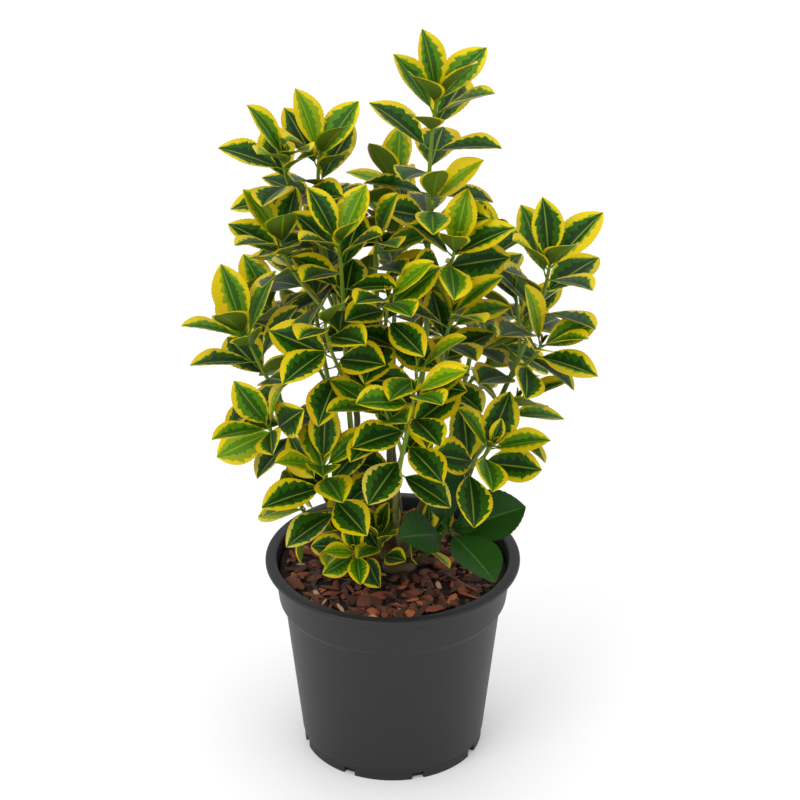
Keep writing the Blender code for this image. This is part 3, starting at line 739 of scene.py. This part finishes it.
def finish(name, colour, roughness, grain, depth, shine=0.4, spread=0.12):
    """A plain base colour whose gloss and relief vary by noise of one grain size in metres."""
    made = bpy.data.materials.new(name)
    made.use_nodes = True
    nodes, links = made.node_tree.nodes, made.node_tree.links
    shader = nodes["Principled BSDF"]
    shader.inputs["Base Color"].default_value = (*colour, 1.0)
    shader.inputs["Specular IOR Level"].default_value = shine
    where = nodes.new("ShaderNodeTexCoord")
    noise = nodes.new("ShaderNodeTexNoise")
    noise.inputs["Scale"].default_value = 1.0 / grain
    noise.inputs["Detail"].default_value = NOISE_DETAIL
    links.new(where.outputs["Object"], noise.inputs["Vector"])
    gloss = nodes.new("ShaderNodeMapRange")
    gloss.inputs["To Min"].default_value = roughness - spread
    gloss.inputs["To Max"].default_value = roughness + spread
    links.new(noise.outputs["Fac"], gloss.inputs["Value"])
    links.new(gloss.outputs["Result"], shader.inputs["Roughness"])
    bump = nodes.new("ShaderNodeBump")
    bump.inputs["Strength"].default_value = BUMP_STRENGTH
    bump.inputs["Distance"].default_value = depth
    links.new(noise.outputs["Fac"], bump.inputs["Height"])
    links.new(bump.outputs["Normal"], shader.inputs["Normal"])
    return made


def leaf_finish(name, *levels):
    """A leaf's smooth skin in one display colour."""
    return finish(name, srgb(*levels), 0.44, 1.6 * MM, 0.10 * MM, shine=0.14)


def chip_finish(name, *levels):
    """A bark chip's dull grain in one display colour."""
    return finish(name, srgb(*levels), 0.8, 1.5 * MM, 0.5 * MM)


DEEP, GREEN, MID, LIME, YELLOW, GOLD, CREAM, RIB, UNDER, PLAIN, PLAIN_LIGHT, PLAIN_UNDER = range(12)
LEAF_FINISHES = [
    leaf_finish("leaf_deep", 24, 54, 10),
    leaf_finish("leaf_green", 44, 88, 10),
    leaf_finish("leaf_mid", 82, 128, 10),
    leaf_finish("leaf_lime", 136, 158, 8),
    leaf_finish("leaf_yellow", 218, 192, 14),
    leaf_finish("leaf_gold", 204, 172, 8),
    leaf_finish("leaf_cream", 206, 188, 70),
    leaf_finish("leaf_rib", 104, 134, 30),
    leaf_finish("leaf_under", 82, 106, 28),
    leaf_finish("leaf_plain", 32, 70, 18),
    leaf_finish("leaf_plain_light", 62, 98, 38),
    leaf_finish("leaf_plain_under", 92, 120, 62),
]
FRESH, WOODY, BARK = range(3)
STEM_FINISHES = [
    finish("stem_green", srgb(118, 142, 38), 0.45, 2.0 * MM, 0.15 * MM),
    finish("stem_woody", srgb(88, 88, 40), 0.65, 1.2 * MM, 0.35 * MM),
    finish("stem_bark", srgb(92, 76, 48), 0.75, 1.4 * MM, 0.6 * MM),
]
CHIP_FINISHES = [
    chip_finish("chip_dark", 66, 40, 28),
    chip_finish("chip_brown", 98, 56, 38),
    chip_finish("chip_red", 122, 60, 38),
    chip_finish("chip_orange", 160, 88, 48),
    chip_finish("chip_pale", 184, 142, 108),
]
CHIP_ODDS = (46, 28, 16, 6, 4)
EARTH = [finish("earth", srgb(34, 22, 16), 0.9, 2.0 * MM, 1.0 * MM)]
PLASTIC = [finish("black_plastic", srgb(34, 34, 36), 0.50, 0.9 * MM, 0.05 * MM, shine=0.3, spread=0.06)]


class Heap:
    """Points, faces and each face's finish, gathered for one piece."""

    def __init__(self):
        self.points = []
        self.faces = []
        self.marks = []

    def add(self, points, faces, mark):
        """Add a shape whose faces all take one finish, or one each from a list."""
        base = len(self.points)
        self.points.extend(points)
        self.faces.extend(tuple(i + base for i in face) for face in faces)
        self.marks.extend(mark if isinstance(mark, list) else [mark] * len(faces))

    def shape(self, name, finishes):
        """The object made of all that was added, smooth and in its finishes."""
        mesh = mesh_from(name, self.points, self.faces)
        for made in finishes:
            mesh.materials.append(made)
        mesh.polygons.foreach_set("material_index", self.marks)
        mesh.shade_smooth()
        obj = bpy.data.objects.new(name, mesh)
        bpy.context.scene.collection.objects.link(obj)
        return obj


def declared(obj, nodes):
    """Hang a piece on the root and hide the solids that it stands for."""
    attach(obj, "root")
    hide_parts(*nodes)


def grid_faces(rows, columns, flip):
    """Faces of a sheet of points in rows, facing up, or down if flipped."""
    faces = []
    for row in range(rows - 1):
        for i in range(columns - 1):
            a = row * columns + i
            face = (a, a + 1, a + columns + 1, a + columns)
            faces.append(tuple(reversed(face)) if flip else face)
    return faces


def jag(chance, low, high):
    """One uneven value for each row of a leaf, falling off after each vein like a saw's teeth."""
    phase = chance.random()
    heights = [chance.uniform(*JAG_HEIGHTS) for _ in range(VEINS + 1)]
    made = []
    for k in range(LEAF_ROWS + 1):
        along = k / LEAF_ROWS * VEINS + phase
        fall = 1.0 - along % 1.0
        made.append(low + (high - low) * fall * heights[int(along)] * chance.uniform(*JAG_NOISE))
    return made


class Pattern:
    """How far across each half of a blade, row by row, its deep green, its green and its lime reach."""

    def __init__(self, age, chance):
        foot = chance.uniform(*FOOT_REACH)
        middle = MIDDLE_REACH + MIDDLE_AGED * age + chance.uniform(*MIDDLE_SPREAD)
        tip_from = TIP_FROM + TIP_FROM_AGED * age + chance.uniform(*TIP_FROM_SPREAD)
        tip_loss = chance.uniform(*TIP_LOSS)
        self.inner, self.green, self.lime = [], [], []
        for _ in range(2):
            scale = chance.uniform(*HALF_SCALE)
            if chance.random() < PALE_ODDS * (1.0 - age):
                scale = chance.uniform(*PALE_SCALE)
            green_jags = jag(chance, *GREEN_JAGS)
            inner_jags = jag(chance, *INNER_JAGS)
            lime_jags = jag(chance, *LIME_JAGS)
            inner, green, lime = [], [], []
            for k in range(LEAF_ROWS + 1):
                b = k / LEAF_ROWS
                reach = foot + (middle - foot) * min(1.0, b / 0.5)
                late = min(1.0, max(0.0, (b - tip_from) / (1.0 - tip_from)))
                reach = reach * (1.0 - tip_loss * late) * scale * green_jags[k]
                g = min(GREEN_MOST, max(GREEN_LEAST, reach))
                green.append(g)
                inner.append(RIB_SHARE + (g - RIB_SHARE) * inner_jags[k])
                lime.append(g + (LIME_MOST - g) * lime_jags[k] * (1.0 - LIME_FADE * age))
            self.inner.append(inner)
            self.green.append(green)
            self.lime.append(lime)


def blade_colours(age, plain, chance):
    """Finishes of half a blade's bands from the rib out, then of its rib, underside and lower rim."""
    if plain:
        return (PLAIN, PLAIN, PLAIN, PLAIN), PLAIN_LIGHT, PLAIN_UNDER, PLAIN_UNDER
    deep, green = DEEP, GREEN
    if age < BRIGHT_UNTIL and chance.random() < BRIGHT_ODDS:
        deep, green = GREEN, MID
    edge = YELLOW if age < GOLD_FROM else GOLD
    if age > CREAM_FROM and chance.random() < CREAM_ODDS:
        edge = CREAM
    if age < LIMY_UNTIL and chance.random() < LIMY_ODDS:
        return (MID, LIME, LIME, edge), LIME, UNDER, LIME
    return (deep, green, MID if age > DULL_FROM else LIME, edge), RIB, UNDER, edge


def add_leaf(heap, leaf, age, plain, chance):
    """One fine blade with its variegation, a separate underside, and its stalk."""
    root, heading, face, length, broad = leaf
    side = heading.cross(face).normalized()
    spot = leaf_spine(root, heading, face, length)
    widest = LEAF_HALF_WIDTH * length * broad
    pattern = Pattern(age, chance)
    bands, rib, under, rim = blade_colours(age, plain, chance)
    wave = chance.uniform(0, math.tau)
    tops, unders = [], []
    for k in range(LEAF_ROWS + 1):
        b = k / LEAF_ROWS
        centre, upward = spot(PETIOLE + (1.0 - PETIOLE) * b)
        tooth = 1.0 + (TOOTH if k % 2 else -TOOTH)
        half = max(LEAF_LEAST_HALF, widest * leaf_width(b) * tooth)

        def surface(w, drop):
            """The point of this row at a share of the half width, left of the rib if negative."""
            share = abs(w)
            rise = LEAF_FOLD * half * share**EDGE_CURL
            vein = math.cos(math.tau * (b * VEINS - share * VEIN_SLANT) + wave)
            vein = vein * share * (1.0 - share) * 4.0
            lead = RIPPLE_SHIFT if w > 0 else 0.0
            ripple = math.sin(math.tau * RIPPLES * b + wave + lead) * share**2
            rise += length * PUCKER * (vein * VEIN_RELIEF + ripple * leaf_width(b))
            return centre + side * half * w + upward * (rise - drop)

        left, right = (
            (RIB_SHARE, pattern.inner[n][k], pattern.green[n][k], pattern.lime[n][k], 1.0)
            for n in (0, 1)
        )
        tops.extend(surface(w, 0.0) for w in [*(-w for w in reversed(left)), *right])
        unders.extend(surface(w, LEAF_DEPTH * (1.0 - w**4)) for w in UNDER_COLUMNS)
    top_marks = [*reversed(bands), rib, *bands]
    heap.add(tops, grid_faces(LEAF_ROWS + 1, len(top_marks) + 1, False), top_marks * LEAF_ROWS)
    under_marks = [rim, under, under, rib, under, under, rim]
    heap.add(unders, grid_faces(LEAF_ROWS + 1, len(UNDER_COLUMNS), True), under_marks * LEAF_ROWS)
    stalk = []
    for k in range(STALK_ROWS):
        centre, _ = spot((PETIOLE + STALK_OVERLAP) * k / (STALK_ROWS - 1))
        radius = PETIOLE_RADIUS * (1.0 - STALK_TAPER * k / (STALK_ROWS - 1))
        stalk.append(ring_across(centre, heading, radius, STALK_SIDES))
    heap.add(*tube(stalk), PLAIN_LIGHT if plain else RIB)


def add_foliage(name, limbs, placed):
    """One mass: its leaves, with two closed bud leaves on each tip, and its twigs."""
    chance = random.Random(name + " look")
    plain = name == "reverted_foliage"
    leaves, twigs = Heap(), Heap()
    for number, *leaf in placed:
        below = (limbs[number].point(1.0) - leaf[0]).length
        add_leaf(leaves, leaf, min(1.0, below / OLD_AT), plain, chance)
    for limb in limbs:
        for turn in (0, 180):
            turn += chance.uniform(-BUD_TURN, BUD_TURN)
            heading, face = leaf_frame(limb.slope(1.0), turn, BUD_OPENING)
            bud = (limb.point(1.0), heading, face, BUD_LENGTH, BUD_BREADTH)
            add_leaf(leaves, bud, 0.0, plain, chance)
        points, faces = limb.solid(TWIG_FINE_STEP, TWIG_FINE_SIDES)
        marks = [WOODY if points[face[0]].z < WOODY_BELOW else FRESH for face in faces]
        twigs.add(points, faces, marks)
    declared(leaves.shape(name + "_leaves", LEAF_FINISHES), [name])
    declared(twigs.shape(name + "_twigs", STEM_FINISHES), [name])


def roughened(p, centre, chance, depth):
    """Bark relief: a point moved a little out from or in toward a limb's centre line."""
    away = (p - centre).normalized()
    ridge = math.sin(p.z / RIDGE_PITCH + RIDGES_ROUND * math.atan2(away.y, away.x))
    return p + away * depth * (0.5 * ridge + chance.uniform(-0.5, 0.5))


def add_boughs(limbs):
    """Each bough with its bark, brown at the foot and greener above."""
    for name, limb in limbs.items():
        chance = random.Random(name)
        points, faces = limb.solid(BOUGH_FINE_STEP, BOUGH_FINE_SIDES)
        rows = len(points) // BOUGH_FINE_SIDES
        moved = []
        for k, p in enumerate(points):
            centre = limb.point((k // BOUGH_FINE_SIDES) / (rows - 1))
            moved.append(roughened(p, centre, chance, BOUGH_RELIEF))
        heap = Heap()
        heap.add(moved, faces, [BARK if moved[face[0]].z < BARK_BELOW else WOODY for face in faces])
        declared(heap.shape(name + "_bark", STEM_FINISHES), [name])


def add_main_stem():
    """The main stem with its bark. Each centre is taken a little low, so the dome is lifted too."""
    chance = random.Random("stem look")
    points, faces = main_stem_solid(STEM_FINE_ROWS, DOME_FINE_ROWS, STEM_FINE_SIDES)
    moved = []
    for p in points:
        centre = stem_centre((p.z - STEM_FOOT.z) / (STEM_TOP.z - STEM_FOOT.z))
        moved.append(roughened(p, Vector((centre.x, centre.y, p.z - MM)), chance, STEM_RELIEF))
    heap = Heap()
    heap.add(moved, faces, BARK)
    declared(heap.shape("main_stem_bark", STEM_FINISHES), ["main_stem"])


def rounded(profile):
    """The profile with each corner but the first and last turned into a short curve."""
    made = [profile[0]]
    for a, b, c in zip(profile, profile[1:], profile[2:]):
        a, b, c = Vector(a), Vector(b), Vector(c)
        for_a = min(CORNER_MOST, (a - b).length * CORNER_SHARE)
        for_c = min(CORNER_MOST, (c - b).length * CORNER_SHARE)
        start = b + (a - b).normalized() * for_a
        end = b + (c - b).normalized() * for_c
        for k in range(CORNER_STEPS + 1):
            t = k / CORNER_STEPS
            made.append(tuple(start * (1 - t) ** 2 + b * 2 * t * (1 - t) + end * t * t))
    made.append(profile[-1])
    return made


def notch_cutter():
    """A block at each drainage notch in the foot, all in one object."""
    points, faces = [], []
    for k in range(NOTCHES):
        turn = math.tau * (k + NOTCH_PHASE) / NOTCHES
        outward = Vector((math.cos(turn), math.sin(turn), 0.0))
        aside = Vector((-outward.y, outward.x, 0.0)) * NOTCH_WIDTH / 2
        near = outward * (FOOT_RADIUS - NOTCH_DEPTH)
        far = outward * (LIP_RADIUS + NOTCH_DEPTH)
        base = [near - aside, far - aside, far + aside, near + aside]
        box = tube([[p + level(z) for p in base] for z in (-NOTCH_HEIGHT, NOTCH_HEIGHT)])
        faces.extend(tuple(i + len(points) for i in face) for face in box[1])
        points.extend(box[0])
    cutter = bpy.data.objects.new("notch_cutter", mesh_from("notch_cutter", points, faces))
    bpy.context.scene.collection.objects.link(cutter)
    return cutter


def add_pot():
    """The turned pot with rounded corners and its notches cut."""
    profile = rounded(pot_outside() + list(reversed(pot_inside())))
    heap = Heap()
    heap.add(*tube([circle(level(z), radius, POT_ROUND_SIDES) for radius, z in profile]), 0)
    pot = heap.shape("pot_shell", PLASTIC)
    cutter = notch_cutter()
    cut = pot.modifiers.new("notches", "BOOLEAN")
    cut.operation = "DIFFERENCE"
    cut.object = cutter
    cut.solver = "EXACT"
    mesh = applied(pot)
    bpy.data.objects.remove(cutter, do_unlink=True)
    mesh.shade_smooth()
    mesh.set_sharp_from_angle(angle=SHARP_ANGLE)
    declared(pot, ["pot"])


def add_soil(rim, chance):
    """The soil that fills the pot, its top uneven outside the level bed under the main stem."""
    rings = [circle(level(z + GAP), radius - GAP, BED_SIDES) for radius, z in pot_inside() if z < SOIL_TOP]
    for k in range(BED_RINGS):
        radius = rim + (BED_MIDDLE - rim) * k / (BED_RINGS - 1)
        ring = circle(level(SOIL_TOP), radius, BED_SIDES)
        if radius > SOIL_LEVEL_RADIUS:
            ring = [p + level(SOIL_BUMP * chance.uniform(*BED_BUMPS)) for p in ring]
        rings.append(ring)
    bed = Heap()
    bed.add(*tube(rings), 0)
    declared(bed.shape("soil_bed", EARTH), ["soil"])


def chip_rings(rim, chance):
    """The rings of one rough flat chip, lying at random on the soil."""
    radius = math.sqrt(chance.uniform(CHIP_INNER, 1.0)) * (rim - CHIP_INSET)
    spot = leaning(90, chance.uniform(0, 360)) * radius
    spot = Vector((spot.x, spot.y, SOIL_TOP + chance.uniform(*CHIP_LIFT) * MM))
    lengths = CHIP_SHORT if chance.random() < SHORT_ODDS else CHIP_LONG
    long = chance.uniform(*lengths) * MM
    wide = long * chance.uniform(*CHIP_WIDTH)
    axis = leaning(90 + chance.uniform(-CHIP_TILT, CHIP_TILT), chance.uniform(0, 360))
    roll = chance.uniform(-CHIP_ROLL, CHIP_ROLL)
    flat = (level(1.0) - axis * axis.z).normalized()
    up = flat * math.cos(roll) + axis.cross(flat) * math.sin(roll)
    across = axis.cross(up)
    rings = []
    for k, breadth in enumerate(CHIP_SECTIONS):
        size = breadth * chance.uniform(0.8, 1.1)
        centre = spot + axis * long * (k / (len(CHIP_SECTIONS) - 1) - 0.5)
        rings.append([
            centre
            + across * wide / 2 * size * math.cos(math.tau * i / CHIP_SIDES) * chance.uniform(0.8, 1.15)
            + up * wide / CHIP_FLAT * size * math.sin(math.tau * i / CHIP_SIDES) * chance.uniform(0.7, 1.2)
            for i in range(CHIP_SIDES)
        ])
    return rings


def add_mulch():
    """The soil and the loose bark chips on it."""
    chance = random.Random("mulch look")
    rim = (BAND_FOOT_RADIUS + BAND_TOP_RADIUS) / 2 - WALL_THICK - GAP
    add_soil(rim, chance)
    heap = Heap()
    for _ in range(CHIPS):
        rings = chip_rings(rim, chance)
        heap.add(*tube(rings), chance.choices(range(len(CHIP_FINISHES)), CHIP_ODDS)[0])
    chips = heap.shape("bark_chips", CHIP_FINISHES)
    declared(chips, ["soil"])
    chips.data.set_sharp_from_angle(angle=SHARP_ANGLE)


def add_stage():
    """A pale floor, an even white surround and three soft lamps."""
    near, far = -FLOOR_HALF, FLOOR_HALF
    square = [(near, near, 0), (far, near, 0), (far, far, 0), (near, far, 0)]
    floor = mesh_from("floor", square, [(0, 1, 2, 3)])
    floor.materials.append(finish("floor_white", (0.93, 0.93, 0.93), 0.8, 5 * MM, 0.02 * MM))
    obj = bpy.data.objects.new("floor", floor)
    bpy.context.scene.collection.objects.link(obj)
    world = bpy.data.worlds.new("studio")
    world.use_nodes = True
    sky = world.node_tree.nodes["Background"]
    sky.inputs["Color"].default_value = (1.0, 1.0, 1.0, 1.0)
    sky.inputs["Strength"].default_value = SKY_STRENGTH
    bpy.context.scene.world = world
    for name, place, size, power in LAMPS:
        lamp = bpy.data.lights.new(name, "AREA")
        lamp.size = size
        lamp.energy = power
        obj = bpy.data.objects.new(name, lamp)
        obj.location = place
        obj.rotation_euler = (CAMERA_AIM - Vector(place)).to_track_quat("-Z", "Y").to_euler()
        bpy.context.scene.collection.objects.link(obj)


def add_camera():
    """The camera at the photograph's angle, looking along +Y and down."""
    lens = bpy.data.cameras.new("camera")
    lens.sensor_width = SENSOR
    lens.lens = SENSOR * FOCAL_PIXELS / PICTURE_SIDE
    camera = bpy.data.objects.new("camera", lens)
    back = Vector((0.0, -math.cos(CAMERA_RISE), math.sin(CAMERA_RISE)))
    camera.location = CAMERA_AIM + back * CAMERA_DISTANCE
    camera.rotation_euler = (math.pi / 2 - CAMERA_RISE, 0.0, 0.0)
    bpy.context.scene.collection.objects.link(camera)
    bpy.context.scene.camera = camera


def corners(box):
    """A box's corners as plain lists of numbers."""
    return [[float(v) for v in corner] for corner in box]


bpy.context.scene.view_settings.view_transform = "Standard"
add_pot()
add_mulch()
add_main_stem()
limbs, twigs, leaves = grow()
add_boughs(limbs)
for mass, shoots in twigs.items():
    add_foliage(mass, shoots, leaves[mass])
add_stage()
add_camera()
